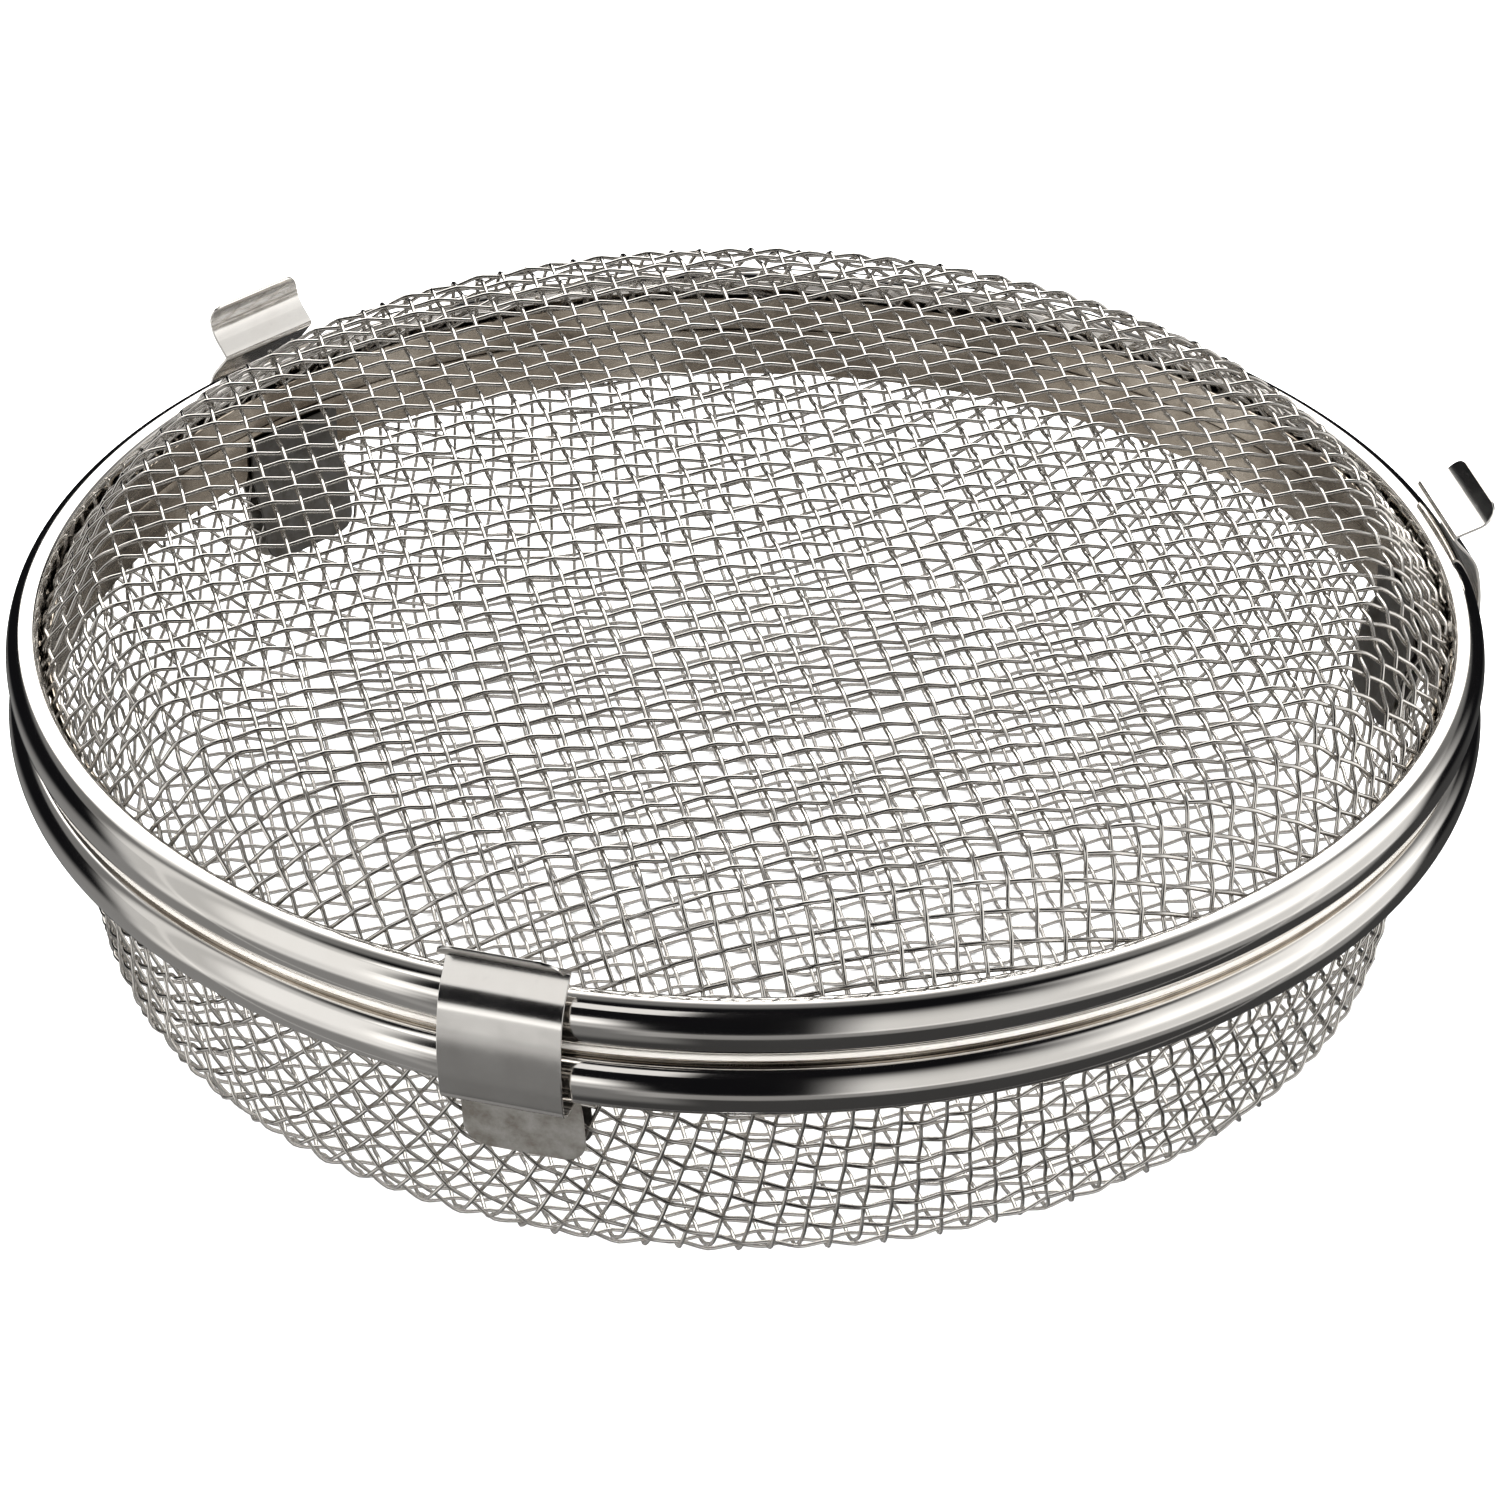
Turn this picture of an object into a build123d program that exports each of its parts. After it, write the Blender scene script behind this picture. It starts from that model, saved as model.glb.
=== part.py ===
from build123d import *
import os

# Double sieve strainer: a deep round wire-mesh basket below and a shallow one upside down on top of it,
# rim to rim, held together by three spring clips welded to the lower basket.
# Millimetres. +Z up. The origin is the centre of the flat on the underside of the lower basket.

# Driving dimensions
RIM_DIAMETER = 240.0      # over the rolled rims
WIRE_DIAMETER = 0.75      # mesh wire
SHEET = 0.5               # rim, clamp band and clip sheet
LOWER_DEPTH = 51.0        # rim seam down to the underside of the lower basket
UPPER_HEIGHT = 26.4       # rim seam up to the crown of the upper sieve
CLIP_ANGLES = (0.0, 121.5, 239.6)    # welded on by eye, so not quite even

# Rolled rim, measured from the seam plane between the two sieves
RIM_RADIUS = RIM_DIAMETER / 2
ROLL_DEPTH = 5.4          # radial
ROLL_HEIGHT = 8.8
ROLL_OUTER_CORNER = 3.4
ROLL_INNER_CORNER = 1.5
ROLL_SLIT = 0.4           # where the rolled edge meets the strip again
ROLL_SLIT_RADIUS = 115.8
HOOP_WIRE_DIAMETER = 3.2

# Clamp band: the flat inner band and the hem that shows as a fine line between the rims
SEAM_GAP = 0.1            # between the two hems
HEM_THICKNESS = 1.0       # seam plane to the underside of the roll
HEM_RADIUS = 118.3
HEM_CORNER = 0.4
BAND_INNER_RADIUS = 112.6
UPPER_BAND_HEIGHT = 6.2
LOWER_BAND_HEIGHT = 9.0

# Mesh: the solid is the envelope of the weave, two wires thick
WEAVE = 2 * WIRE_DIAMETER - 0.1
SKIRT_RADIUS = 113.85     # middle of the weave where the band clamps it
SKIRT_START = HEM_THICKNESS + 0.1
BOTTOM_FLAT_RADIUS = 35.0

# Spring clip, and the tab and backing plate that hold it
CLIP_WIDTH = 19.5
LIP_HEIGHT = 18.6         # top of the finger tab above the seam
LIP_CORNER = 2.2
HINGE_RADIUS = 118.3      # where the strip flexes under the lower rim
HINGE_DROP = 10.35        # middle of the strip there, below the seam
HINGE_GAP = 0.3
TAB_DROP = 25.0
TAB_CORNER = 4.0
PLATE_WIDTH = 19.5
PLATE_DROP = 24.0
PLATE_CORNER = 3.5
WELD_DIAMETER = 2.6
WELD_SPACING_ACROSS = 9.0
WELD_SPACING_DOWN = 6.0

PARTS_FOLDER = "parts"


def save(name, shape):
    """Write one piece, or one group of alike pieces, to its own STEP file."""
    shape.label = name
    export_step(shape, os.path.join(PARTS_FOLDER, name + ".step"))


def upright(profile):
    """Stand a (radius, height) section up in the XZ plane."""
    return Plane.XZ * profile


def spin(profile):
    """Full turn of a (radius, height) section about the strainer's axis."""
    return revolve(upright(profile), Axis.Z, 360)


def bent_sheet(points, radii, width):
    """Sheet strip that follows a (radius, height) line with an arc at each inner corner."""
    profile = trace(FilletPolyline(*points, radius=radii), SHEET)
    return extrude(upright(profile), amount=width / 2, dir=(0, 1, 0), both=True)


def raise_to_seam(shape):
    return Pos(0, 0, LOWER_DEPTH) * shape


def flip(shape):
    """Turn an upper piece, modelled up from the seam plane, into its lower twin."""
    return mirror(shape, about=Plane.XY)


# ---------------------------------------------------------------- rims

def rolled_rim():
    """Sheet strip rolled into a hollow rim; its bottom rests on the hem of the clamp band."""
    middle_radius = RIM_RADIUS - ROLL_DEPTH / 2
    middle_height = HEM_THICKNESS + ROLL_HEIGHT / 2
    outline = Pos(middle_radius, middle_height) * Rectangle(ROLL_DEPTH, ROLL_HEIGHT)
    by_radius = outline.vertices().sort_by(Axis.X)
    outline = fillet(by_radius[2:], ROLL_OUTER_CORNER)
    outline = fillet(outline.vertices().sort_by(Axis.X)[:2], ROLL_INNER_CORNER)
    hollow = offset(outline, amount=-SHEET)
    slit_height = HEM_THICKNESS + SHEET / 2
    slit = Pos(ROLL_SLIT_RADIUS, slit_height) * Rectangle(ROLL_SLIT, 2 * SHEET)
    return spin(outline - hollow - slit)


def hoop_wire():
    """Round wire that the rim is rolled over."""
    centre_radius = RIM_RADIUS - ROLL_DEPTH / 2
    centre_height = HEM_THICKNESS + ROLL_HEIGHT / 2
    return spin(Pos(centre_radius, centre_height) * Circle(HOOP_WIRE_DIAMETER / 2))


def clamp_band(band_height):
    """Flat band inside the mesh, with a hem that passes out under the roll at the seam."""
    foot = SEAM_GAP / 2
    outline = Polyline(
        (BAND_INNER_RADIUS, foot),
        (HEM_RADIUS, foot),
        (HEM_RADIUS, HEM_THICKNESS),
        (BAND_INNER_RADIUS + SHEET, HEM_THICKNESS),
        (BAND_INNER_RADIUS + SHEET, band_height),
        (BAND_INNER_RADIUS, band_height),
        close=True,
    )
    profile = make_face(outline)
    hem_edge = profile.vertices().filter_by(lambda v: abs(v.X - HEM_RADIUS) < 0.01)
    return spin(fillet(hem_edge, HEM_CORNER))


# ---------------------------------------------------------------- meshes

def mesh_shell(wall, wall_radii, shoulder_radius, crown):
    """Envelope of a woven mesh: a side wall, a rounded shoulder and a nearly flat crown.

    wall runs from the clamped skirt to the sharp corner between wall and crown,
    and crown is the middle line from that corner to the axis.
    """
    side = FilletPolyline(*wall, radius=wall_radii)
    line = Wire(side.edges() + crown)
    corner = line.vertices().sort_by_distance((*wall[-1], 0))[0]
    line = line.fillet_2d(shoulder_radius, [corner])
    return spin(trace(line, WEAVE))


def upper_mesh():
    """Shallow sieve, modelled up from the seam plane."""
    corner = (103.75, 21.25)
    crown_height = UPPER_HEIGHT - WEAVE / 2
    crown_radius = (corner[0] ** 2 + (crown_height - corner[1]) ** 2) / (2 * (crown_height - corner[1]))
    half_way = corner[0] / 2
    half_way_height = crown_height - crown_radius + (crown_radius**2 - half_way**2) ** 0.5
    crown = [ThreePointArc(corner, (half_way, half_way_height), (0, crown_height))]
    wall = [(SKIRT_RADIUS, SKIRT_START), (SKIRT_RADIUS, 6.6), corner]
    return mesh_shell(wall, 2.5, 8.6, crown)


def lower_mesh():
    """Deep basket, modelled up from the seam plane and then turned over."""
    corner = (105.2, 44.4)
    floor_height = LOWER_DEPTH - WEAVE / 2
    flat_edge = (BOTTOM_FLAT_RADIUS, floor_height)
    sag_width = corner[0] - BOTTOM_FLAT_RADIUS
    sag_height = floor_height - corner[1]
    sag_radius = (sag_width**2 + sag_height**2) / (2 * sag_height)
    half_way = BOTTOM_FLAT_RADIUS + sag_width / 2
    half_way_height = floor_height - sag_radius + (sag_radius**2 - (sag_width / 2) ** 2) ** 0.5
    crown = [
        ThreePointArc(corner, (half_way, half_way_height), flat_edge),
        Line(flat_edge, (0, floor_height)),
    ]
    wall = [(SKIRT_RADIUS, SKIRT_START), (SKIRT_RADIUS, 9.2), (111.1, 15.0), corner]
    return flip(mesh_shell(wall, [3.0, 10.0], 5.5, crown))


# ---------------------------------------------------------------- clips

def end_corners(strip, end_height):
    """The two short edges across the sheet's thickness at the strip's end, at the given height."""
    short = strip.edges().filter_by(lambda e: e.length < SHEET * 1.5 and abs(e.center().Z - end_height) < SHEET)
    return short.filter_by(lambda e: abs(e.tangent_at(0.5).Y) < 0.1)


def spring_clip():
    """Spring strip: curl under the lower rim, bowed face, slanted leg, V nose over the upper rim, finger tab."""
    points = [
        (HINGE_RADIUS, -HINGE_DROP),
        (121.6, -HINGE_DROP),
        (123.2, -1.0),
        (121.85, 7.56),
        (117.45, 13.0),
        (121.9, 14.8),
        (123.6, LIP_HEIGHT),
    ]
    strip = bent_sheet(points, [2.4, 30.0, 8.0, 0.45, 4.2], CLIP_WIDTH)
    return fillet(end_corners(strip, LIP_HEIGHT), LIP_CORNER)


def weld_tab():
    """Fixed end of the clip strip: a ledge under the lower rim and a tab down the basket's wall."""
    points = [
        (HINGE_RADIUS - HINGE_GAP, -HINGE_DROP),
        (115.4, -HINGE_DROP),
        (114.55, -HINGE_DROP - 0.35),
        (112.75, -15.6),
        (110.95, -TAB_DROP),
    ]
    strip = bent_sheet(points, [0.8, 0.8, 12.0], CLIP_WIDTH)
    return fillet(end_corners(strip, -TAB_DROP), TAB_CORNER)


def backing_plate():
    """Plate inside the basket that backs the tab; its top laps over the clamp band."""
    top = -1.5
    points = [(111.75, top), (111.75, -8.6), (109.4, -14.6), (107.7, -PLATE_DROP)]
    plate = bent_sheet(points, [4.0, 10.0], PLATE_WIDTH)
    plate = fillet(end_corners(plate, -PLATE_DROP), PLATE_CORNER)
    return fillet(end_corners(plate, top), 1.0)


def spot_welds():
    """Four weld nuggets through the mesh, from the backing plate to the tab."""
    wall_slope = 11.0
    centre = (110.55, -19.5)
    nugget = Cylinder(WELD_DIAMETER / 2, 1.95, rotation=(0, 90, 0))
    nuggets = []
    for side in (-0.5, 0.5):
        for level in (-0.5, 0.5):
            spot = Pos(0, side * WELD_SPACING_ACROSS, level * WELD_SPACING_DOWN) * nugget
            nuggets.append(Pos(centre[0], 0, centre[1]) * Rot(0, wall_slope, 0) * spot)
    return Compound(children=nuggets)


os.makedirs(PARTS_FOLDER, exist_ok=True)

save("upper_rim", raise_to_seam(rolled_rim()))
save("lower_rim", raise_to_seam(flip(rolled_rim())))
save("upper_hoop_wire", raise_to_seam(hoop_wire()))
save("lower_hoop_wire", raise_to_seam(flip(hoop_wire())))
save("upper_clamp_band", raise_to_seam(clamp_band(UPPER_BAND_HEIGHT)))
save("lower_clamp_band", raise_to_seam(flip(clamp_band(LOWER_BAND_HEIGHT))))
save("upper_mesh", raise_to_seam(upper_mesh()))
save("lower_mesh", raise_to_seam(lower_mesh()))

clip_pieces = {
    "spring_clip": spring_clip(),
    "weld_tab": weld_tab(),
    "backing_plate": backing_plate(),
    "spot_welds": spot_welds(),
}
for number, angle in enumerate(CLIP_ANGLES, start=1):
    for name, piece in clip_pieces.items():
        save(f"{name}_{number}", Rot(0, 0, angle) * raise_to_seam(piece))
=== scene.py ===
import math

import bmesh
import bpy
import numpy as np
from mathutils import Matrix, Vector


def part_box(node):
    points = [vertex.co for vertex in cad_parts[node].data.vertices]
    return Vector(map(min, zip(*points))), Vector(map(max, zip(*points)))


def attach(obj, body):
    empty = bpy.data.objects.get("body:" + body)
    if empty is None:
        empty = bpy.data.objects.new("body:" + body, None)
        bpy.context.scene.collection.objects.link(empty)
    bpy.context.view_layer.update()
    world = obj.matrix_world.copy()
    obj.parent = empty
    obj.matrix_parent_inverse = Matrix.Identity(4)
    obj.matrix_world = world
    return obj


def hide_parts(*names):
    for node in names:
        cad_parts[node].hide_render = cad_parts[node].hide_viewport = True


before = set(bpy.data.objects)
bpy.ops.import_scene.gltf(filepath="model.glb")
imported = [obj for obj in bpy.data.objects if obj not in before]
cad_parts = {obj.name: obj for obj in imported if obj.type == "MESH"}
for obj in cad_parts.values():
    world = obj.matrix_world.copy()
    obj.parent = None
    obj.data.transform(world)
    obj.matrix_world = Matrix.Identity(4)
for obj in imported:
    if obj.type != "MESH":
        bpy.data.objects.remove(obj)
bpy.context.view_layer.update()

# A double sieve strainer in metres: two wire-mesh sieves with mirror-polished rolled rims and three
# spring clips.
MM = 0.001

# ---------------------------------------------------------------- places and sizes, from the frame

UPPER_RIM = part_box("upper_rim")
LOWER_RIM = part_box("lower_rim")
SEAM = (UPPER_RIM[0][2] + LOWER_RIM[1][2]) / 2          # height of the plane between the two sieves
RIM_RADIUS = (UPPER_RIM[1][0] - UPPER_RIM[0][0]) / 2
RIM_START = UPPER_RIM[0][2] - SEAM                      # each roll starts this far from the seam
RIM_END = UPPER_RIM[1][2] - SEAM
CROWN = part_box("upper_mesh")[1][2] - SEAM               # top of the upper sieve
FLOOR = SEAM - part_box("lower_mesh")[0][2]               # underside of the basket, as a depth
BAND_RADIUS = 112.6 * MM                                # inside of the inner bands
HEM_RADIUS = (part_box("upper_clamp_band")[1][0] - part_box("upper_clamp_band")[0][0]) / 2
SHEET = 0.5 * MM
ROLL_DEPTH = 5.4 * MM                                   # from a roll's outer face to its inner one
SKIRT_RADIUS = 113.85 * MM                              # where the meshes run down behind the bands
SKIRT_END = 1.7 * MM                                    # the meshes stop this far from the seam
WEAVE_MARGIN = 0.7 * MM                                 # from a mesh's outer face to its middle
CLIP_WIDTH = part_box("spring_clip_1")[1][1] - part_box("spring_clip_1")[0][1]
PLATE_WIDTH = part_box("backing_plate_1")[1][1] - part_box("backing_plate_1")[0][1]
CLIP_ANGLES = {1: 0.0, 2: 121.5, 3: 239.6}               # welded on by eye, so not quite even

UPPER_WIRE = 0.72 * MM
LOWER_WIRE = 0.66 * MM
PITCH = 4.45 * MM                                        # between neighbouring wires
CRIMP = 0.72 * MM                                        # how far a wire swings from one side to the other

CAMERA_AZIMUTH = -13.3
CAMERA_ELEVATION = 30.774
CAMERA_ROLL = 0.377
CAMERA_DISTANCE = 1.078                                 # from the seam's centre


# ---------------------------------------------------------------- outlines

def rounded(points, radii, chord=0.25 * MM):
    """Samples along a line through (radius, height) points, with an arc at each inner corner."""
    points = [Vector(p) for p in points]
    path = [points[0]]
    for before, corner, after, radius in zip(points, points[1:], points[2:], radii):
        back = (before - corner).normalized()
        ahead = (after - corner).normalized()
        half = back.angle(ahead) / 2
        reach = radius / math.tan(half)
        centre = corner + (back + ahead).normalized() * radius / math.sin(half)
        start = corner + back * reach - centre
        end = corner + ahead * reach - centre
        turn = math.pi - 2 * half
        if start.x * end.y - start.y * end.x < 0:
            turn = -turn
        steps = max(3, math.ceil(abs(turn) * radius / chord), math.ceil(abs(turn) / 0.2))
        for step in range(steps + 1):
            path.append(centre + Matrix.Rotation(turn * step / steps, 2) @ start)
    path.append(points[-1])
    return path


def spaced(path, longest):
    """The same line with straight stretches cut so that no step is longer than given."""
    result = [path[0]]
    for a, b in zip(path, path[1:]):
        gap = (b - a).length
        if gap < 1e-7:
            continue
        count = max(1, math.ceil(gap / longest))
        for step in range(1, count + 1):
            result.append(a.lerp(b, step / count))
    return result


def normals_of(path):
    """Unit normals on the left of each sample of a line."""
    result = []
    for index in range(len(path)):
        ahead = path[min(index + 1, len(path) - 1)] - path[max(index - 1, 0)]
        ahead.normalize()
        result.append(Vector((-ahead.y, ahead.x)))
    return result


def sheet_section(path, thickness):
    """Closed section of a sheet of even thickness about a middle line."""
    sides = normals_of(path)
    left = [p + n * thickness / 2 for p, n in zip(path, sides)]
    right = [p - n * thickness / 2 for p, n in zip(path, sides)]
    return left + right[::-1]


# ---------------------------------------------------------------- mesh building

def new_object(name, mesh, body, material, node):
    """Adds a visible piece that moves with a body and stands for a CAD node."""
    obj = bpy.data.objects.new(name, mesh)
    bpy.context.scene.collection.objects.link(obj)
    mesh.materials.append(material)
    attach(obj, body)
    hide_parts(node)
    return obj


def smooth(mesh, angle):
    """Shades a mesh smooth, except where its faces meet more sharply than the angle in degrees."""
    for polygon in mesh.polygons:
        polygon.use_smooth = True
    mesh.set_sharp_from_angle(angle=math.radians(angle))


def grid_mesh(name, rows, columns, positions, close_rows=False, close_columns=False):
    """Quads over a grid of positions, an array of rows * columns points."""
    row_steps = rows if close_rows else rows - 1
    column_steps = columns if close_columns else columns - 1
    row = np.arange(row_steps)[:, None]
    column = np.arange(column_steps)[None, :]
    next_row = (row + 1) % rows
    next_column = (column + 1) % columns
    corners = [
        row * columns + column,
        row * columns + next_column,
        next_row * columns + next_column,
        next_row * columns + column,
    ]
    faces = np.stack([np.broadcast_to(c, (row_steps, column_steps)) for c in corners], axis=-1)
    faces = faces.reshape(-1, 4)
    mesh = bpy.data.meshes.new(name)
    mesh.from_pydata(positions.reshape(-1, 3).tolist(), [], faces.tolist())
    mesh.update()
    return mesh


def lathe(name, section, side, wobble):
    """Closed ring from a closed (radius, height) section; side is 1 above the seam and -1 below it."""
    segments = 420
    angles = np.linspace(0, 2 * math.pi, segments, endpoint=False)
    radius = np.array([p.x for p in section])[None, :]
    height = np.array([p.y for p in section])[None, :]
    # hand-rolled rims are never quite round: a few slow waves around the ring
    drift = wobble * (
        np.sin(3 * angles + 0.7) + 0.6 * np.sin(5 * angles + 2.1 * side) + 0.35 * np.sin(11 * angles)
    )
    lift = wobble * 0.5 * (np.sin(4 * angles + side) + 0.5 * np.sin(9 * angles + 1.3))
    radius = radius + drift[:, None]
    height = side * height + lift[:, None]
    positions = np.stack(
        [radius * np.cos(angles)[:, None], radius * np.sin(angles)[:, None], SEAM + height], axis=-1
    )
    if side < 0:
        positions = positions[::-1]
    mesh = grid_mesh(name, segments, len(section), positions, True, True)
    recalculate(mesh)
    smooth(mesh, 50)
    return mesh


def recalculate(mesh):
    """Turns every face of a closed mesh outwards."""
    shape = bmesh.new()
    shape.from_mesh(mesh)
    bmesh.ops.recalc_face_normals(shape, faces=shape.faces)
    shape.to_mesh(mesh)
    shape.free()


# ---------------------------------------------------------------- materials

class Nodes:
    """A node tree, with short calls for the nodes used here."""

    def __init__(self, tree, coordinates):
        self.tree = tree
        self.place = tree.nodes.new("ShaderNodeTexCoord").outputs[coordinates]

    def link(self, source, target):
        self.tree.links.new(source, target)

    def mapped(self, scale):
        node = self.tree.nodes.new("ShaderNodeMapping")
        node.inputs["Scale"].default_value = scale
        self.link(self.place, node.inputs["Vector"])
        return node.outputs["Vector"]

    def noise(self, scale, detail=4.0, rough=0.55, stretch=(1, 1, 1), source=None):
        node = self.tree.nodes.new("ShaderNodeTexNoise")
        node.inputs["Scale"].default_value = scale
        node.inputs["Detail"].default_value = detail
        node.inputs["Roughness"].default_value = rough
        self.link(source if source is not None else self.mapped(stretch), node.inputs["Vector"])
        return node.outputs["Fac"]

    def ramp(self, factor, *stops):
        node = self.tree.nodes.new("ShaderNodeValToRGB")
        ramp = node.color_ramp
        while len(ramp.elements) < len(stops):
            ramp.elements.new(0.5)
        for element, (place, colour) in zip(ramp.elements, stops):
            element.position = place
            element.color = (*colour, 1)
        self.link(factor, node.inputs["Fac"])
        return node.outputs["Color"]

    def spread(self, factor, low, high, start=0.0, end=1.0):
        """The factor's range from start to end, spread from low to high."""
        node = self.tree.nodes.new("ShaderNodeMapRange")
        node.inputs["From Min"].default_value = start
        node.inputs["From Max"].default_value = end
        node.inputs["To Min"].default_value = low
        node.inputs["To Max"].default_value = high
        self.link(factor, node.inputs["Value"])
        return node.outputs["Result"]

    def math(self, operation, *values):
        node = self.tree.nodes.new("ShaderNodeMath")
        node.operation = operation
        for index, value in enumerate(values):
            if isinstance(value, (int, float)):
                node.inputs[index].default_value = value
            else:
                self.link(value, node.inputs[index])
        return node.outputs[0]

    def bump(self, height, distance, strength=1.0, after=None):
        node = self.tree.nodes.new("ShaderNodeBump")
        node.inputs["Strength"].default_value = strength
        node.inputs["Distance"].default_value = distance
        self.link(height, node.inputs["Height"])
        if after is not None:
            self.link(after, node.inputs["Normal"])
        return node.outputs["Normal"]

    def polar(self, around, up, out):
        """Coordinates that run around the strainer's axis, up it and out from it, scaled for streaks."""
        split = self.tree.nodes.new("ShaderNodeSeparateXYZ")
        self.link(self.place, split.inputs[0])
        x, y, z = split.outputs
        angle = self.math("ARCTAN2", y, x)
        square = self.math("ADD", self.math("MULTIPLY", x, x), self.math("MULTIPLY", y, y))
        radius = self.math("SQRT", square)
        join = self.tree.nodes.new("ShaderNodeCombineXYZ")
        self.link(self.math("MULTIPLY", angle, around), join.inputs[0])
        self.link(self.math("MULTIPLY", z, up), join.inputs[1])
        self.link(self.math("MULTIPLY", radius, out), join.inputs[2])
        return join.outputs[0]

    def dot(self, direction):
        """How far the shaded place lies in a direction."""
        node = self.tree.nodes.new("ShaderNodeVectorMath")
        node.operation = "DOT_PRODUCT"
        node.inputs[1].default_value = direction
        self.link(self.place, node.inputs[0])
        return node.outputs["Value"]

    def fade(self, value, start, end):
        """0 at start and 1 at end, smooth between them and flat beyond."""
        node = self.tree.nodes.new("ShaderNodeMapRange")
        node.interpolation_type = "SMOOTHSTEP"
        node.inputs["From Min"].default_value = min(start, end)
        node.inputs["From Max"].default_value = max(start, end)
        node.inputs["To Min"].default_value = 0.0 if start < end else 1.0
        node.inputs["To Max"].default_value = 1.0 if start < end else 0.0
        self.link(value, node.inputs["Value"])
        return node.outputs["Result"]


class Surface(Nodes):
    """A material in the making."""

    def __init__(self, name):
        self.material = bpy.data.materials.new(name)
        self.material.use_nodes = True
        super().__init__(self.material.node_tree, "Object")
        self.shader = self.tree.nodes["Principled BSDF"]

    def finish(self, colour, rough, normal=None, metallic=1.0):
        if metallic is not None:
            self.shader.inputs["Metallic"].default_value = metallic
        self.link(colour, self.shader.inputs["Base Color"])
        self.link(rough, self.shader.inputs["Roughness"])
        if normal is not None:
            self.link(normal, self.shader.inputs["Normal"])
        return self.material


def mirror_steel():
    """Bright buffed stainless: clean reflections, hairline rub marks across the roll, faint smears."""
    n = Surface("mirror_steel")
    rubs = n.noise(1.0, 3.0, 0.6, source=n.polar(420, 170, 60))
    marks = n.spread(rubs, 0.0, 1.0, 0.70, 0.80)
    smear = n.noise(55, 5.0, 0.6)
    along = n.noise(1.0, 4.0, 0.6, source=n.polar(14, 2600, 2600))
    colour = n.ramp(smear, (0.25, (0.76, 0.735, 0.70)), (0.75, (0.83, 0.81, 0.785)))
    rough = n.math("ADD", n.spread(smear, 0.06, 0.12, 0.3, 0.75), n.math("MULTIPLY", marks, 0.22))
    waves = n.bump(n.noise(38, 2.0, 0.4), 0.00006, 1.0)
    normal = n.bump(along, 0.0000022, 1.0, waves)
    return n.finish(colour, rough, normal)


def band_steel():
    """Bright strip, rolled lengthwise, a little dull from handling; its colour is kept dark and brown as
    painted shade, for the shade the band stands in behind the mesh inside the rims.
    """
    n = Surface("band_steel")
    streaks = n.noise(1.0, 4.0, 0.6, source=n.polar(7, 700, 700))
    stain = n.noise(36, 5.0, 0.62)
    # tones kept dark as painted shade for the band's place inside the rims; the random stains between them
    # are its own
    dark, middle, light = (0.20, 0.165, 0.13), (0.40, 0.35, 0.29), (0.66, 0.60, 0.52)
    colour = n.ramp(stain, (0.36, dark), (0.5, middle), (0.64, light))
    rough = n.math("ADD", n.spread(streaks, 0.06, 0.20, 0.35, 0.7), n.spread(stain, 0.0, 0.06, 0.4, 0.8))
    return n.finish(colour, rough, n.bump(streaks, 0.000002, 0.8))


def hem_painted_highlight():
    """Satin, warm edge of the upper hem, pale and part diffuse: a painted highlight standing in for the
    bright reflection along the bead.
    """
    n = Surface("hem_painted_highlight")
    streaks = n.noise(1.0, 4.0, 0.6, source=n.polar(7, 900, 900))
    stain = n.noise(80, 4.0, 0.6)
    colour = n.ramp(stain, (0.3, (0.78, 0.73, 0.67)), (0.7, (0.88, 0.85, 0.80)))
    rough = n.spread(streaks, 0.25, 0.38, 0.3, 0.7)
    # low metallic and a pale colour so the lamp makes the bead bright: painted highlight
    return n.finish(colour, rough, n.bump(streaks, 0.000002, 0.8), metallic=0.45)


def wire_steel(name, foot_shine):
    """Drawn wire with fine draw lines; towards the basket's foot it turns less metallic and so paler,
    painted light standing in for the glow of the white floor round the wires there.
    """
    n = Surface(name)
    fine = n.noise(2600, 3.0, 0.6)
    patch = n.noise(90, 4.0, 0.6)
    foot = n.fade(n.dot((0, 0, 1)), 0.016, 0.003)
    colour = n.ramp(patch, (0.3, (0.64, 0.615, 0.58)), (0.7, (0.78, 0.755, 0.72)))
    rough = n.math("ADD", n.spread(patch, 0.13, 0.20, 0.3, 0.7), n.spread(fine, 0.0, 0.06, 0.35, 0.7))
    # painted light: less metallic near the floor, so the lamp lights a pale diffuse part on the foot wires
    n.link(n.spread(foot, 1.0, foot_shine), n.shader.inputs["Metallic"])
    return n.finish(colour, rough, n.bump(fine, 0.000006, 0.6), metallic=None)


def clip_steel():
    """Satin spring strip: short brush lines across the strip and light handling marks."""
    n = Surface("clip_steel")
    brush = n.noise(1.0, 5.0, 0.65, source=n.polar(24, 3800, 3800))
    haze = n.noise(120, 5.0, 0.6)
    pits = n.noise(900, 2.0, 0.5)
    colour = n.ramp(haze, (0.3, (0.80, 0.775, 0.745)), (0.7, (0.88, 0.86, 0.83)))
    rough = n.math("ADD", n.spread(haze, 0.13, 0.19, 0.3, 0.7), n.spread(pits, 0.0, 0.08, 0.62, 0.8))
    return n.finish(colour, rough, n.bump(brush, 0.0000018, 0.8))


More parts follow.
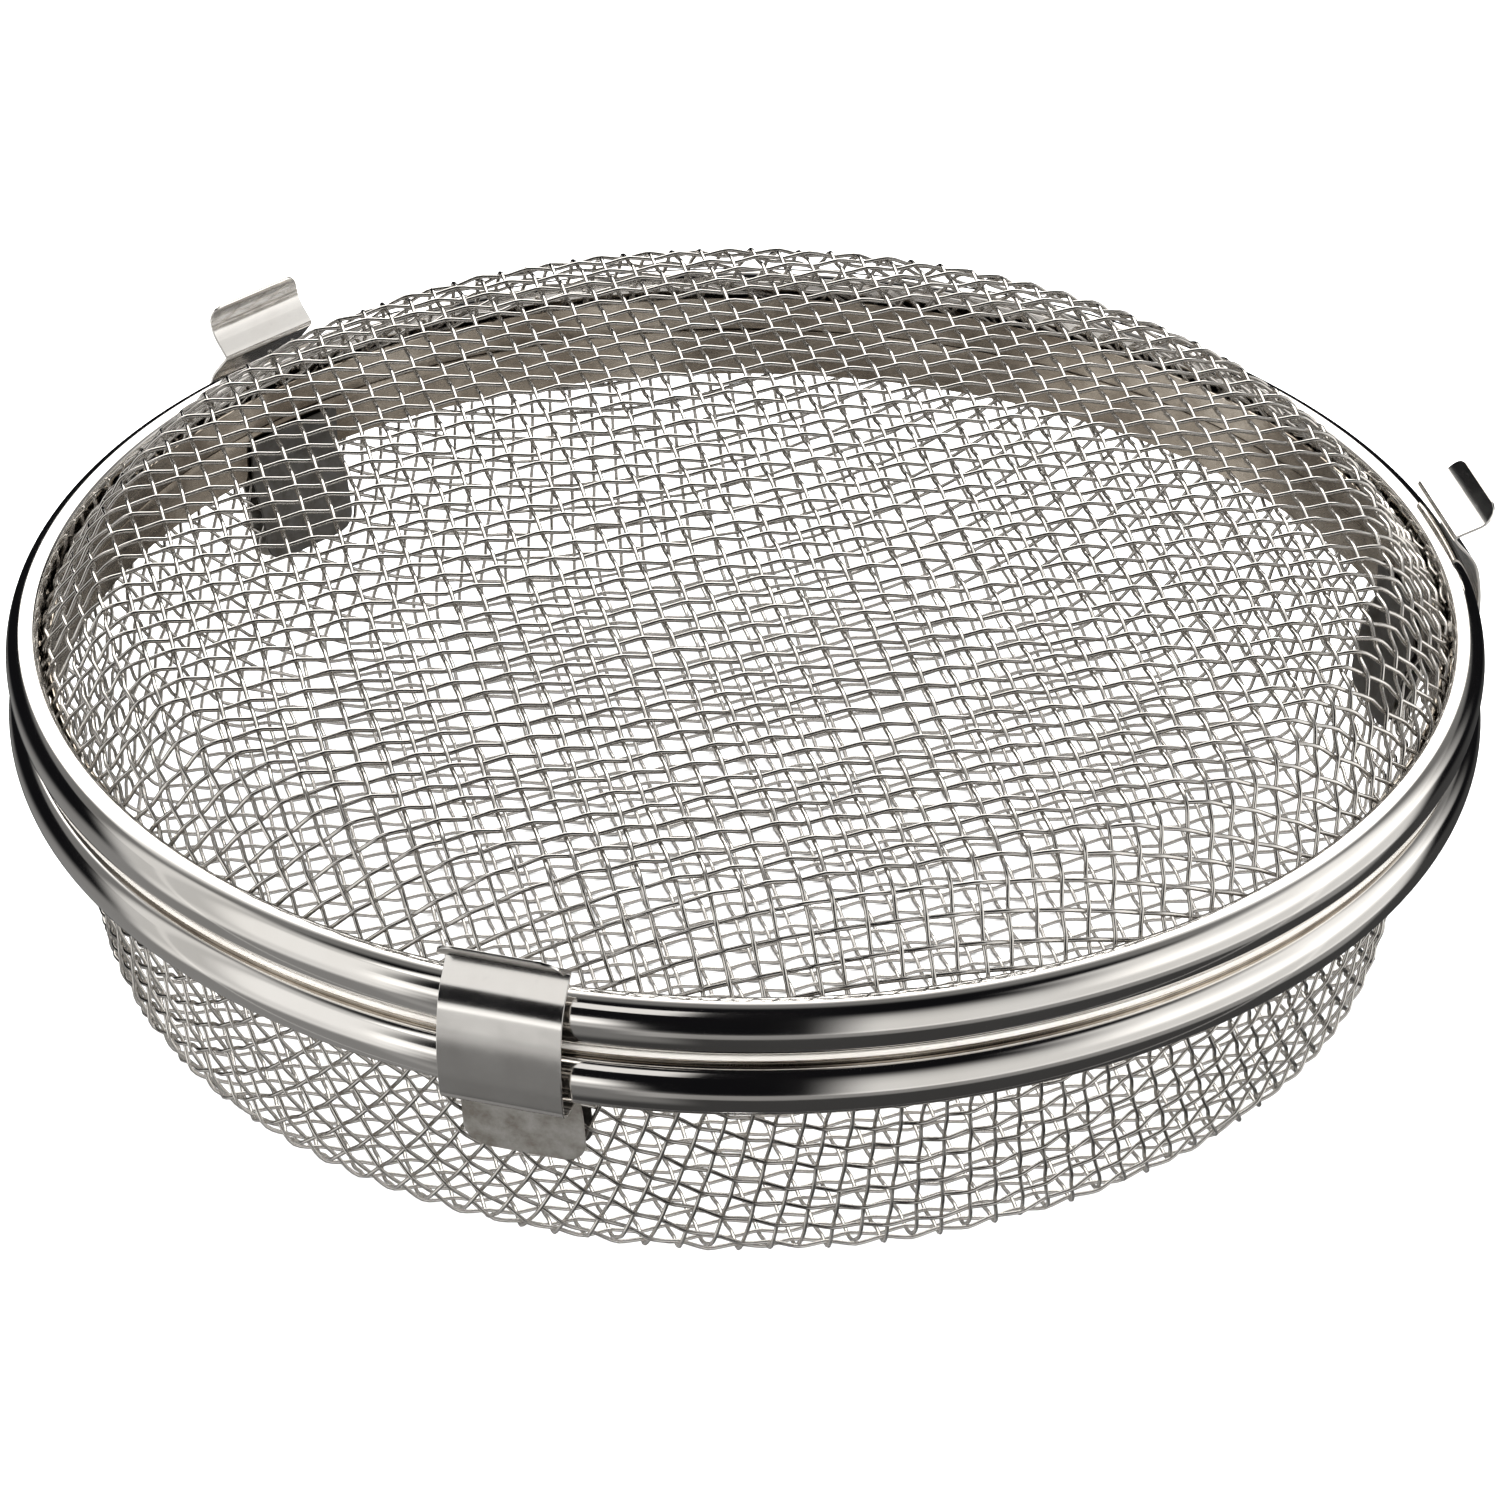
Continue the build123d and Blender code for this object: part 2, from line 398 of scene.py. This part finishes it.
def tab_steel(name, shade):
    """Unpolished strip, mottled grey from pickling after the welding; the shade factor darkens every tone,
    as painted shade where it is below 1.
    """
    n = Surface(name)
    mottle = n.noise(210, 7.0, 0.72)
    grain = n.noise(1500, 4.0, 0.6)
    streak = n.noise(60, 4.0, 0.6, (1, 1, 0.12))
    # shade below 1 is painted shade, for the backing plates that sit in shadow inside the basket
    dark, middle, light = (tuple(c * shade for c in tone) for tone in
                           ((0.30, 0.275, 0.24), (0.42, 0.40, 0.37), (0.52, 0.505, 0.48)))
    colour = n.ramp(mottle, (0.36, dark), (0.5, middle), (0.64, light))
    rough = n.math("ADD", n.spread(mottle, 0.40, 0.52, 0.3, 0.7), n.spread(streak, 0.0, 0.1, 0.4, 0.7))
    normal = n.bump(grain, 0.00003, 0.7, n.bump(mottle, 0.00005, 0.6))
    return n.finish(colour, rough, normal, metallic=0.86)


def plain_wire():
    """Dull drawn wire for the hidden hoops."""
    n = Surface("hoop_steel")
    lines = n.noise(1.0, 4.0, 0.6, source=n.polar(6, 3000, 3000))
    colour = n.ramp(lines, (0.3, (0.42, 0.42, 0.42)), (0.7, (0.52, 0.52, 0.52)))
    rough = n.spread(lines, 0.3, 0.45, 0.3, 0.7)
    return n.finish(colour, rough, n.bump(lines, 0.00002, 0.6))


# ---------------------------------------------------------------- woven mesh

def upper_meridian():
    """Middle of the weave as (radius, height above the seam), from the crown's centre to the skirt."""
    corner = Vector((103.75 * MM, 21.25 * MM))
    crown = CROWN - WEAVE_MARGIN
    drop = crown - corner.y
    path = []
    for step in range(41):
        radius = corner.x * step / 40
        path.append(Vector((radius, crown - drop * (radius / corner.x) ** 2)))
    before = [p for p in path if p.x < 98 * MM]
    shoulder = [corner, Vector((SKIRT_RADIUS, 6.6 * MM)), Vector((SKIRT_RADIUS, SKIRT_END))]
    bend = rounded([before[-1]] + shoulder, [8.6 * MM, 2.5 * MM])
    return spaced(before[:-1] + bend, 1.0 * MM)


def lower_meridian():
    """The same for the basket, as (radius, depth below the seam)."""
    corner = Vector((105.2 * MM, 44.4 * MM))
    floor = FLOOR - WEAVE_MARGIN
    flat = 35 * MM
    rise = floor - corner.y
    path = [Vector((0, floor)), Vector((flat, floor))]
    for step in range(1, 31):
        radius = flat + (corner.x - flat) * step / 30
        path.append(Vector((radius, floor - rise * (step / 30) ** 2)))
    before = [p for p in path if p.x < 100.5 * MM]
    skirt = [Vector((SKIRT_RADIUS, 9.2 * MM)), Vector((SKIRT_RADIUS, SKIRT_END))]
    side = [Vector((111.1 * MM, 15.0 * MM)), *skirt]
    bend = rounded([before[-1], corner] + side, [5.5 * MM, 10 * MM, 3 * MM])
    return spaced(before[:-1] + bend, 1.0 * MM)


class Weave:
    """A flat plain weave laid over a bowl: a point keeps its direction from the middle and its distance
    along the surface."""

    def __init__(self, meridian, side, wire, seed):
        self.wire = wire
        self.radius = np.array([p.x for p in meridian])
        self.height = side * np.array([p.y for p in meridian])
        steps = np.hypot(np.diff(self.radius), np.diff(self.height))
        self.length = np.concatenate([[0], np.cumsum(steps)])
        slope_r = np.gradient(self.radius, self.length)
        slope_h = np.gradient(self.height, self.length)
        # the outward normal has the crown's direction in the middle
        self.normal_r = -slope_h * side
        self.normal_h = slope_r * side
        self.random = np.random.default_rng(seed)

    def place(self, x, y, lift):
        """Positions and surface normals of flat points (x, y), lifted off the middle of the weave."""
        s = np.hypot(x, y)
        cos = np.where(s > 1e-9, x / np.maximum(s, 1e-9), 1.0)
        sin = np.where(s > 1e-9, y / np.maximum(s, 1e-9), 0.0)
        radius = np.interp(s, self.length, self.radius)
        height = np.interp(s, self.length, self.height)
        normal_r = np.interp(s, self.length, self.normal_r)
        normal_h = np.interp(s, self.length, self.normal_h)
        normal = np.stack([normal_r * cos, normal_r * sin, normal_h], axis=-1)
        normal /= np.linalg.norm(normal, axis=-1, keepdims=True)
        point = np.stack([radius * cos, radius * sin, SEAM + height], axis=-1)
        return point + normal * lift[:, None], normal

    def wires(self, name, along_x):
        """One mesh of every wire that runs along X, or every wire that runs along Y."""
        sides = 8
        steps_per_wave = 8
        reach = self.length[-1]
        count = int(reach / PITCH)
        vertices = []
        faces = []
        total = 0
        for index in range(-count, count + 1):
            across = (index + 0.5) * PITCH
            if abs(across) > reach - 1.2 * MM:
                continue
            half = math.sqrt(reach**2 - across**2)
            samples = max(6, int(2 * half / (2 * PITCH) * steps_per_wave))
            run = np.linspace(-half, half, samples)
            sway = self.sway(run, across, along_x)
            lift = self.crimp(run, index, along_x)
            if along_x:
                points, normal = self.place(run, across + sway, lift)
            else:
                points, normal = self.place(across + sway, run, lift)
            ring = self.tube(points, normal, sides)
            vertices.append(ring.reshape(-1, 3))
            row = np.arange(samples - 1)[:, None] * sides
            column = np.arange(sides)[None, :]
            after = (column + 1) % sides
            quad = [row + column, row + after, row + sides + after, row + sides + column]
            quad = np.stack(quad, axis=-1)
            faces.append(quad.reshape(-1, 4) + total)
            total += samples * sides
        mesh = bpy.data.meshes.new(name)
        all_vertices = np.concatenate(vertices)
        all_faces = np.concatenate(faces)
        mesh.vertices.add(len(all_vertices))
        mesh.vertices.foreach_set("co", all_vertices.astype(np.float32).ravel())
        mesh.loops.add(all_faces.size)
        mesh.loops.foreach_set("vertex_index", all_faces.astype(np.int32).ravel())
        mesh.polygons.add(len(all_faces))
        mesh.polygons.foreach_set("loop_start", np.arange(0, all_faces.size, 4, dtype=np.int32))
        mesh.update(calc_edges=True)
        mesh.validate()
        for polygon in mesh.polygons:
            polygon.use_smooth = True
        return mesh

    def crimp(self, run, index, along_x):
        """Over one crossing wire and under the next: nearly straight between the bends."""
        wave = np.cos(math.pi * (run / PITCH - 0.5))
        sharp = np.arcsin(0.93 * wave) / math.asin(0.93)
        sign = 1 if (index % 2 == 0) == along_x else -1
        return sign * 0.5 * CRIMP * sharp

    def sway(self, run, across, along_x):
        """Slow drift of a wire to one side and the other, and a little of its own."""
        phase = self.random.uniform(0, 2 * math.pi, 3)
        slow = 0.35 * MM * np.sin(run / (62 * MM) + across / (35 * MM) + (1.0 if along_x else 2.4))
        own = 0.16 * MM * np.sin(run / (17 * MM) + phase[0]) + 0.10 * MM * np.sin(run / (7 * MM) + phase[1])
        return slow + own + 0.15 * MM * math.sin(phase[2])

    def tube(self, points, normal, sides):
        """Rings of points around a wire's middle line."""
        tangent = np.gradient(points, axis=0)
        tangent /= np.linalg.norm(tangent, axis=-1, keepdims=True)
        side = np.cross(tangent, normal)
        side /= np.linalg.norm(side, axis=-1, keepdims=True)
        up = np.cross(side, tangent)
        angles = np.arange(sides) * 2 * math.pi / sides
        cos = np.cos(angles)[None, :, None]
        sin = np.sin(angles)[None, :, None]
        ring = up[:, None, :] * cos + side[:, None, :] * sin
        return points[:, None, :] + ring * self.wire / 2


def add_mesh(half, meridian, side, wire, material, seed):
    """Both sets of wires of one sieve."""
    weave = Weave(meridian, side, wire, seed)
    for name, along_x in (("warp", True), ("weft", False)):
        title = f"{half}_{name}_wires"
        mesh = weave.wires(title, along_x)
        new_object(title, mesh, f"{half}_sieve", material, f"{half}_mesh")


# ---------------------------------------------------------------- rims

def roll_line():
    """Middle of the rolled sheet, from its free edge round the inner side, the crown and the bowed outer
    face and back to the other side of the gap that is left open along the seam."""
    low = RIM_START + SHEET / 2
    high = RIM_END - SHEET / 2
    inner = RIM_RADIUS - ROLL_DEPTH + SHEET / 2
    free_edge = 115.55 * MM
    middle = (low + high) / 2
    corner = 2.75 * MM
    bow = 6.75 * MM
    bow_centre = Vector((RIM_RADIUS - SHEET / 2 - bow, middle))
    corner_height = (high - low) / 2 - corner
    tilt = math.asin(corner_height / (bow - corner))
    corner_radius = bow_centre.x + (bow - corner) * math.cos(tilt)
    upper_centre = Vector((corner_radius, middle + corner_height))
    lower_centre = Vector((corner_radius, middle - corner_height))

    line = [(free_edge, low), (inner, low), (inner, high), (corner_radius, high)]
    path = rounded(line, [1.2 * MM] * 2, 0.15 * MM)
    arcs = [
        (upper_centre, corner, math.pi / 2, tilt),
        (bow_centre, bow, tilt, -tilt),
        (lower_centre, corner, -tilt, -math.pi / 2),
    ]
    for centre, radius, start, end in arcs:
        for step in range(1, 16):
            angle = start + (end - start) * step / 15
            path.append(centre + radius * Vector((math.cos(angle), math.sin(angle))))
    return path


def add_rim(half, side):
    """Roll of bright sheet, open along its edge on the seam side, and the inner band with its hem."""
    section = sheet_section(spaced(roll_line(), 0.5 * MM), SHEET)
    mesh = lathe(f"{half}_rim_roll", section, side, 0.06 * MM)
    new_object(f"{half}_rim_roll", mesh, f"{half}_sieve", MIRROR_STEEL, f"{half}_rim")

    # band and hem: the lower hem is drawn in a little, the upper one carries a bright bead
    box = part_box(f"{half}_clamp_band")
    top = box[1][2] - SEAM if side > 0 else SEAM - box[0][2]
    foot = 0.06 * MM
    hem = HEM_RADIUS - (0.9 if side > 0 else 0.2) * MM
    line = [
        (BAND_RADIUS + SHEET, top - 0.1 * MM),
        (BAND_RADIUS + SHEET, 1.0 * MM),
        (hem - 0.4 * MM, 1.0 * MM),
        (hem, 0.5 * MM),
        (hem, foot),
        (BAND_RADIUS, foot),
        (BAND_RADIUS, top - 0.1 * MM),
    ]
    section = rounded(line, [0.05 * MM, 0.2 * MM, 0.3 * MM, 0.2 * MM, 0.3 * MM], 0.08 * MM)
    section.append(Vector((BAND_RADIUS + SHEET / 2, top)))
    mesh = lathe(f"{half}_clamp_strip", spaced(section, 1.2 * MM), side, 0.02 * MM)
    new_object(f"{half}_clamp_strip", mesh, f"{half}_sieve", BAND_STEEL,
               f"{half}_clamp_band")


def add_hem_bead():
    """Flattened bead along the edge of the upper hem, in its painted-highlight finish: the bright line
    between the two rims.
    """
    outer = HEM_RADIUS - 0.04 * MM
    line = [
        (outer - 0.9 * MM, 0.6 * MM),
        (outer - 0.9 * MM, 1.24 * MM),
        (outer, 1.24 * MM),
        (outer + 0.04 * MM, 0.7 * MM),
        (outer, 0.08 * MM),
        (outer - 0.9 * MM, 0.08 * MM),
        (outer - 0.9 * MM, 0.55 * MM),
    ]
    section = rounded(line, [0.05 * MM, 0.3 * MM, 1.5 * MM, 0.3 * MM, 0.05 * MM], 0.06 * MM)
    mesh = lathe("upper_hem_bead", section, 1, 0.02 * MM)
    new_object("upper_hem_bead", mesh, "upper_sieve", HEM_PAINTED_HIGHLIGHT, "upper_clamp_band")


# ---------------------------------------------------------------- clips

def bent_strip(name, line, radii, width, end_corner, start_corner=0.0):
    """Sheet strip that follows a (radius, height above the seam) line along +X, with rounded ends."""
    path = spaced(rounded(line, radii, 0.2 * MM), 0.6 * MM)
    sides = normals_of(path)
    lengths = [0.0]
    for a, b in zip(path, path[1:]):
        lengths.append(lengths[-1] + (b - a).length)
    total = lengths[-1]
    columns = 21
    rows = []
    for layer in (0.5, -0.5):
        for point, normal, length in zip(path, sides, lengths):
            half = width / 2
            for corner, gap in ((start_corner, length), (end_corner, total - length)):
                if gap < corner:
                    half = min(half, width / 2 - corner + math.sqrt(corner**2 - (corner - gap) ** 2))
            row = []
            for column in range(columns):
                share = 2 * column / (columns - 1) - 1
                flat = point + normal * (layer * SHEET)
                row.append((flat.x, share * half, SEAM + flat.y))
            rows.append(row)
    positions = np.array(rows)
    count = len(path)
    loop = np.concatenate([positions[:count], positions[count:][::-1]])
    mesh = grid_mesh(name, 2 * count, columns, loop, True, False)
    close_sides(mesh, 2 * count, columns)
    recalculate(mesh)
    return mesh


def close_sides(mesh, rows, columns):
    """Joins the two layers of a strip along both of its long edges."""
    shape = bmesh.new()
    shape.from_mesh(mesh)
    shape.verts.ensure_lookup_table()
    for column in (0, columns - 1):
        for row in range(rows // 2 - 1):
            far = rows - 1 - row
            corners = [row, row + 1, far - 1, far]
            shape.faces.new([shape.verts[r * columns + column] for r in corners])
    shape.to_mesh(mesh)
    shape.free()


def add_strip(name, number, mesh, body, material, node):
    """Turns a strip built along +X to its clip's place, and rounds its cut edges."""
    mesh.transform(Matrix.Rotation(math.radians(CLIP_ANGLES[number]), 4, "Z"))
    obj = new_object(name, mesh, body, material, node)
    smooth(mesh, 60)
    bevel = obj.modifiers.new("cut_edges", "BEVEL")
    bevel.width = 0.1 * MM
    bevel.segments = 3
    bevel.limit_method = "ANGLE"
    bevel.angle_limit = math.radians(50)


# V nose and finger tab of each clip, as (radius, height above the seam) points and the radius of the bend
# between nose and tip, in millimetres: bent by hand, so no two are quite alike
HINGE_HEIGHT = -10.35
FINGER_TABS = {
    1: ([(117.45, 12.3), (122.9, 14.2), (125.0, 16.7)], 4.4),
    2: ([(117.45, 12.8), (122.3, 17.5), (121.2, 20.6)], 5.6),
    3: ([(117.45, 13.9), (121.6, 15.9), (123.6, 18.6)], 4.4),
}


def add_clip(number):
    """One spring clip with its weld tab and its backing plate."""
    tab, bend = FINGER_TABS[number]
    nose_height = tab[0][1]
    line = [(118.3, HINGE_HEIGHT), (121.6, HINGE_HEIGHT), (123.2, -1.0), (121.85, nose_height - 5.44), *tab]
    radii = [2.4, 30.0, 8.0, 0.6, bend]
    mesh = bent_strip("spring_strip", scaled(line), scaled(radii), CLIP_WIDTH, 3.0 * MM)
    add_strip(f"spring_strip_{number}", number, mesh, f"clip_{number}", CLIP_STEEL,
              f"spring_clip_{number}")

    line = [(118.0, HINGE_HEIGHT), (115.4, HINGE_HEIGHT), (114.55, -10.7), (112.75, -15.6), (110.95, -25.0)]
    mesh = bent_strip("weld_tab", scaled(line), scaled([0.8, 0.8, 12.0]), CLIP_WIDTH, 4.0 * MM)
    add_strip(f"weld_tab_sheet_{number}", number, mesh, "lower_sieve", TAB_STEEL,
              f"weld_tab_{number}")

    line = [(111.75, -1.5), (111.75, -8.6), (109.4, -14.6), (107.7, -24.0)]
    mesh = bent_strip("backing_plate", scaled(line), scaled([4.0, 10.0]), PLATE_WIDTH, 3.5 * MM, 1.0 * MM)
    add_strip(f"backing_sheet_{number}", number, mesh, "lower_sieve", PLATE_PAINTED_SHADE,
              f"backing_plate_{number}")


def scaled(values):
    """Millimetres to metres, for numbers or for (radius, height) points."""
    return [tuple(c * MM for c in v) if isinstance(v, tuple) else v * MM for v in values]


# ---------------------------------------------------------------- studio

def add_camera():
    """Long lens, looking down towards the seam's centre from a little left of the front."""
    azimuth = math.radians(CAMERA_AZIMUTH)
    elevation = math.radians(CAMERA_ELEVATION)
    roll = math.radians(CAMERA_ROLL)
    back = Vector((math.sin(azimuth) * math.cos(elevation), -math.cos(azimuth) * math.cos(elevation),
                   math.sin(elevation)))
    right = Vector((math.cos(azimuth), math.sin(azimuth), 0))
    up = back.cross(right)
    tilted_right = right * math.cos(roll) + up * math.sin(roll)
    tilted_up = up * math.cos(roll) - right * math.sin(roll)
    camera = bpy.data.cameras.new("camera")
    camera.lens = 158.4
    camera.sensor_width = 36
    camera.shift_x = 0.0032
    camera.shift_y = -0.0645
    camera.clip_start = 0.01
    obj = bpy.data.objects.new("camera", camera)
    bpy.context.scene.collection.objects.link(obj)
    turn = Matrix((tilted_right, tilted_up, back)).transposed().to_4x4()
    obj.matrix_world = Matrix.Translation(Vector((0, 0, SEAM)) + back * CAMERA_DISTANCE) @ turn
    bpy.context.scene.camera = obj


def add_overhead_lamp():
    """Wide soft lamp above the strainer, aimed straight down and not seen in the steel."""
    lamp = bpy.data.lights.new("overhead", "AREA")
    lamp.shape = "RECTANGLE"
    lamp.size = lamp.size_y = 3.4
    lamp.energy = 190
    obj = bpy.data.objects.new("overhead", lamp)
    bpy.context.scene.collection.objects.link(obj)
    obj.rotation_euler = Vector((0, 0, -1.6)).to_track_quat("-Z", "Y").to_euler()
    obj.location = (0.0, 0.0, 1.6)
    obj.visible_glossy = False


def add_studio():
    """Pale floor, soft light on it from above, and the white panels that the polished steel reflects."""
    floor_mesh = bpy.data.meshes.new("floor")
    half = 6.0
    corners = [(-half, -half, 0), (half, -half, 0), (half, half, 0), (-half, half, 0)]
    floor_mesh.from_pydata(corners, [], [(0, 1, 2, 3)])
    floor = bpy.data.objects.new("floor", floor_mesh)
    bpy.context.scene.collection.objects.link(floor)
    n = Surface("pale_floor")
    grain = n.noise(30, 3.0)
    colour = n.ramp(grain, (0.3, (0.90, 0.90, 0.90)), (0.7, (0.92, 0.92, 0.92)))
    floor_mesh.materials.append(n.finish(colour, n.spread(grain, 0.85, 0.95), metallic=0.0))
    floor.visible_glossy = False

    add_overhead_lamp()

    world = bpy.data.worlds.new("studio")
    bpy.context.scene.world = world
    world.use_nodes = True
    n = Nodes(world.node_tree, "Generated")
    azimuth = math.radians(CAMERA_AZIMUTH)
    front = n.dot((math.sin(azimuth), -math.cos(azimuth), 0))
    right = n.dot((math.cos(azimuth), math.sin(azimuth), 0))
    up = n.dot((0, 0, 1))
    turn = n.math("MULTIPLY", n.math("ARCTAN2", right, front), 180 / math.pi)
    rise = n.math("MULTIPLY", n.math("ARCSINE", up), 180 / math.pi)

    def panel(level, left, right_end, low, high, soft_turn, soft_low, soft_high):
        """Brightness over a range of bearings, in degrees to the right of the front, and of elevations."""
        left_edge = n.fade(turn, left - soft_turn, left)
        right_edge = n.fade(turn, right_end + soft_turn, right_end)
        sides = n.math("MULTIPLY", left_edge, right_edge)
        ends = n.math("MULTIPLY", n.fade(rise, low - soft_low, low), n.fade(rise, high + soft_high, high))
        return n.math("MULTIPLY", n.math("MULTIPLY", sides, ends), level)

    panels = [
        panel(0.62, -98, -56, -30, 40, 12, 8, 14),
        panel(0.40, -74, -56, -16, 26, 10, 12, 12),
        panel(0.95, -58, -14, 36, 60, 8, 3, 4),
        panel(1.00, -48, -22, -12, -3, 8, 8, 3),
        panel(0.42, -50, -20, -22, -12, 8, 8, 8),
        panel(0.14, -56, -16, -48, -24, 10, 16, 6),
        panel(0.80, 20, 112, -26, -14, 12, 4, 56),
        panel(0.85, 66, 112, -4, 40, 24, 10, 14),
        panel(0.24, -12, 110, -36, -27, 10, 4, 3),
        panel(0.20, -150, -62, -70, -32, 16, 14, 14),
        panel(0.045, -180, 180, -90, -28, 1, 1, 8),
    ]
    # the sweep behind and overhead, brighter towards the back
    flat_up = n.math("MAXIMUM", up, 0.02)
    behind = n.math("MULTIPLY", n.math("DIVIDE", front, flat_up), -1.0)
    beside = n.math("DIVIDE", right, flat_up)
    sweep = n.math("MULTIPLY", n.fade(behind, 0.35, 1.35), n.fade(beside, 0.75, 0.4))
    sweep = n.math("MULTIPLY", sweep, n.fade(beside, -1.3, -0.85))
    sweep = n.math("MULTIPLY", sweep, n.fade(behind, 3.2, 2.2))
    panels.append(n.math("MULTIPLY", sweep, 3.8))
    dim_sweep = n.math("MULTIPLY", n.fade(behind, -0.15, 0.2), n.fade(behind, 2.2, 1.6))
    panels.append(n.math("MULTIPLY", dim_sweep, 0.2))
    total = panels[0]
    for level in panels[1:]:
        total = n.math("ADD", total, level)
    colour = n.ramp(total, (0.0, (0.006, 0.006, 0.007)), (1.0, (1.0, 0.99, 0.97)))
    background = world.node_tree.nodes["Background"]
    n.link(colour, background.inputs["Color"])
    n.link(n.math("MAXIMUM", total, 1.0), background.inputs["Strength"])
    bpy.context.scene.view_settings.view_transform = "Standard"


MIRROR_STEEL = mirror_steel()
BAND_STEEL = band_steel()
# painted highlight for the bead between the rims
HEM_PAINTED_HIGHLIGHT = hem_painted_highlight()
UPPER_WIRE_STEEL = wire_steel("upper_wire_steel", 1.0)
LOWER_WIRE_STEEL = wire_steel("lower_wire_steel", 0.84)
CLIP_STEEL = clip_steel()
TAB_STEEL = tab_steel("tab_steel", 1.0)
# the backing plates get a darkened copy of the tab finish: painted shade
PLATE_PAINTED_SHADE = tab_steel("plate_painted_shade", 0.24)
HOOP_STEEL = plain_wire()

add_mesh("upper", upper_meridian(), 1, UPPER_WIRE, UPPER_WIRE_STEEL, 4)
add_mesh("lower", lower_meridian(), -1, LOWER_WIRE, LOWER_WIRE_STEEL, 9)
add_rim("upper", 1)
add_rim("lower", -1)
add_hem_bead()
for clip in CLIP_ANGLES:
    add_clip(clip)
carried_over = {"upper_hoop_wire": HOOP_STEEL, "lower_hoop_wire": HOOP_STEEL}
carried_over.update({f"spot_welds_{clip}": TAB_STEEL for clip in CLIP_ANGLES})
for node, material in carried_over.items():
    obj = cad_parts[node]
    obj.data.materials.clear()
    obj.data.materials.append(material)

add_camera()
add_studio()
